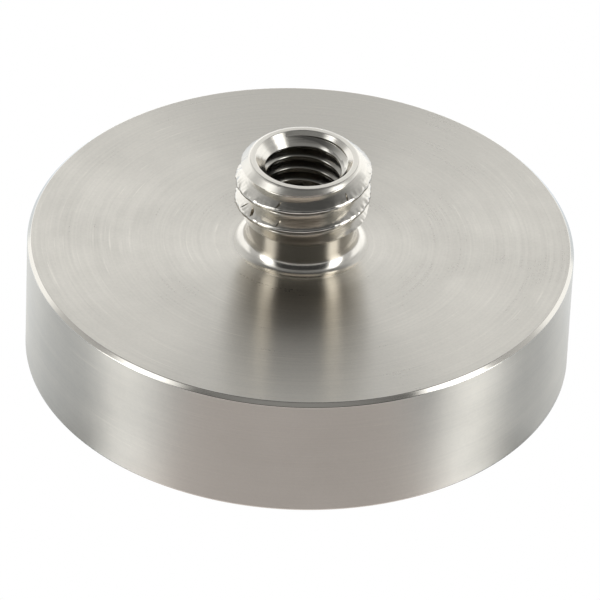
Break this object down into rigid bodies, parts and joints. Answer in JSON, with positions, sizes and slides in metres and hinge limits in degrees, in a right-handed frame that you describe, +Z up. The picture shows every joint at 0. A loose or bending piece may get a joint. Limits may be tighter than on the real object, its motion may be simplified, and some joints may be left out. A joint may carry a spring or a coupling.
{
  "type": "magnet base with threaded stud",
  "caption": "Round stainless steel magnet base with a hollow threaded stud, for fastening or lifting by magnetic pull.",
  "frame": {"origin": "centre of the underside, which the base rests on", "axes": "+Z up along the stud's axis, from the underside towards the stud's mouth; +X and +Y across the disc"},
  "size_m": [0.038, 0.038, 0.016],
  "materials": {
    "turned_stainless": "fine turned, concentric lay, unplated 304 stainless",
    "plated_cup_steel": "satin nickel plate on low-carbon steel",
    "plated_magnet": "bright nickel plate on sintered neodymium magnet",
    "natural_nylon": "moulded natural nylon",
    "potting_resin": "cast black epoxy, slight meniscus",
    "screw_steel": "plain A2 stainless, cold headed"
  },
  "bodies": {
    "root": {"stud_housing": "turned_stainless", "pole_cup": "plated_cup_steel", "ring_magnet": "plated_magnet", "centring_ring": "natural_nylon", "potting_ring": "potting_resin", "retaining_screw": "screw_steel"}
  },
  "joints": []
}
